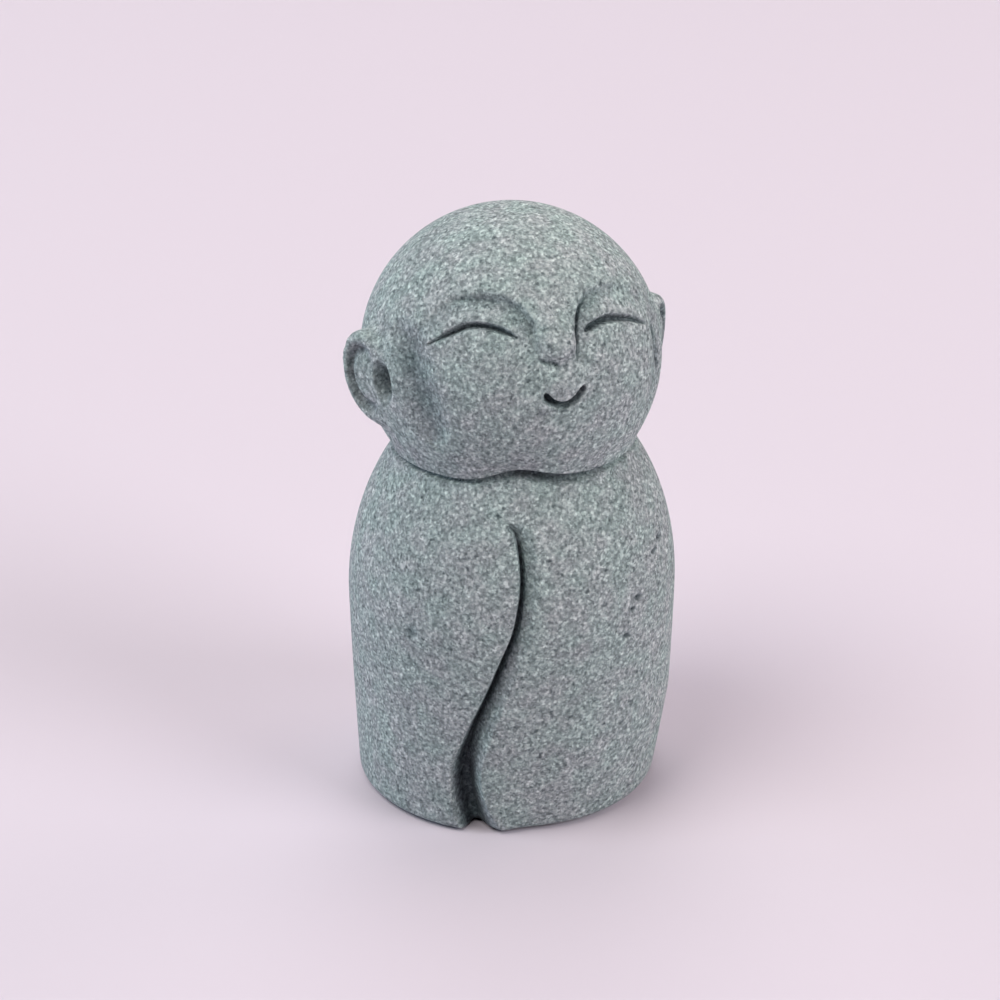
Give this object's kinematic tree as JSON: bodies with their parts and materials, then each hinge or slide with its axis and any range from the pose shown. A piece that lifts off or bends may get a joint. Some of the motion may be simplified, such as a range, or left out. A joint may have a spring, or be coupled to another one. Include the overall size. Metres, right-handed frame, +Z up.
{
  "type": "monk statue",
  "caption": "Small cast stone monk with a round, smiling, bald head turned to its left on a plain robed body, whose front opening runs down in a long wave.",
  "frame": {"origin": "middle of the flat underside's box, on the surface the figure stands on", "axes": "+Z up; the robe's front faces -Y; +X is the figure's left, the side the head is turned to"},
  "size_m": [0.0356, 0.0352, 0.065],
  "materials": {
    "stone": "matt cast stone with a fine speckle of pale and dark green-grey grains"
  },
  "bodies": {
    "root": {"monk_figure": "stone"}
  },
  "joints": []
}
